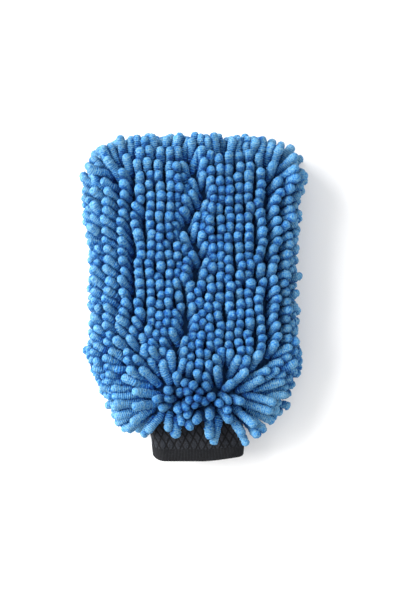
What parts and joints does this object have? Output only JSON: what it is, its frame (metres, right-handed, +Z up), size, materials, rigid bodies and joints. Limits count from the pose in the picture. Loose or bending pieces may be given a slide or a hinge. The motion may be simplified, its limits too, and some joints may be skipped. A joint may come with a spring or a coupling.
{
  "type": "wash mitt",
  "caption": "Chenille wash mitt with an elastic cuff, lying flat: two pile panels and a lining round an open hand pocket, in separate sewn pieces",
  "frame": {"origin": "on the resting plane, under the middle of the mitt's outer size", "axes": "+X across the width, +Y from the cuff towards the closed end, +Z up through the thickness"},
  "size_m": [0.194, 0.28, 0.0631],
  "materials": {
    "chenille": "matte fuzzy microfibre chenille, mid blue",
    "base_cloth": "matte knitted polyester, dark blue",
    "lining": "matte fine knit, blue",
    "cuff_elastic": "matte jacquard woven elastic, charcoal",
    "thread": "matte polyester thread"
  },
  "bodies": {
    "back_panel": {"back_base_cloth": "base_cloth", "back_lining": "lining", "mouth_seam_back": "cuff_elastic", "cuff_back": "cuff_elastic", "cuff_band_back": "cuff_elastic", "back_chenille_row_01": "chenille", "back_chenille_row_02": "chenille", "back_chenille_row_03": "chenille", "back_chenille_row_04": "chenille", "back_chenille_row_05": "chenille", "back_chenille_row_06": "chenille", "back_chenille_row_07": "chenille", "back_chenille_row_08": "chenille", "back_chenille_row_09": "chenille", "back_chenille_row_10": "chenille", "back_chenille_row_11": "chenille", "back_chenille_row_12": "chenille", "back_chenille_row_13": "chenille", "back_chenille_row_14": "chenille", "back_chenille_row_15": "chenille", "back_chenille_row_16": "chenille", "back_edge_chenille_left": "chenille", "back_edge_chenille_right": "chenille", "back_edge_chenille_end": "chenille", "perimeter_seam": "base_cloth", "perimeter_overlock": "thread", "cuff_side_seam_left": "cuff_elastic", "cuff_side_seam_right": "cuff_elastic"},
    "front_panel": {"front_base_cloth": "base_cloth", "front_lining": "lining", "mouth_seam_front": "cuff_elastic", "cuff_front": "cuff_elastic", "cuff_band_front": "cuff_elastic", "front_chenille_row_01": "chenille", "front_chenille_row_02": "chenille", "front_chenille_row_03": "chenille", "front_chenille_row_04": "chenille", "front_chenille_row_05": "chenille", "front_chenille_row_06": "chenille", "front_chenille_row_07": "chenille", "front_chenille_row_08": "chenille", "front_chenille_row_09": "chenille", "front_chenille_row_10": "chenille", "front_chenille_row_11": "chenille", "front_chenille_row_12": "chenille", "front_chenille_row_13": "chenille", "front_chenille_row_14": "chenille", "front_chenille_row_15": "chenille", "front_chenille_row_16": "chenille", "front_edge_chenille_left": "chenille", "front_edge_chenille_right": "chenille", "front_edge_chenille_end": "chenille"}
  },
  "joints": [
    {"name": "mouth_opening", "type": "hinge", "parent": "back_panel", "child": "front_panel", "pos_m": [0, 0.123, 0.028], "axis": [-1, 0, 0], "range_deg": [0, 5]}
  ]
}
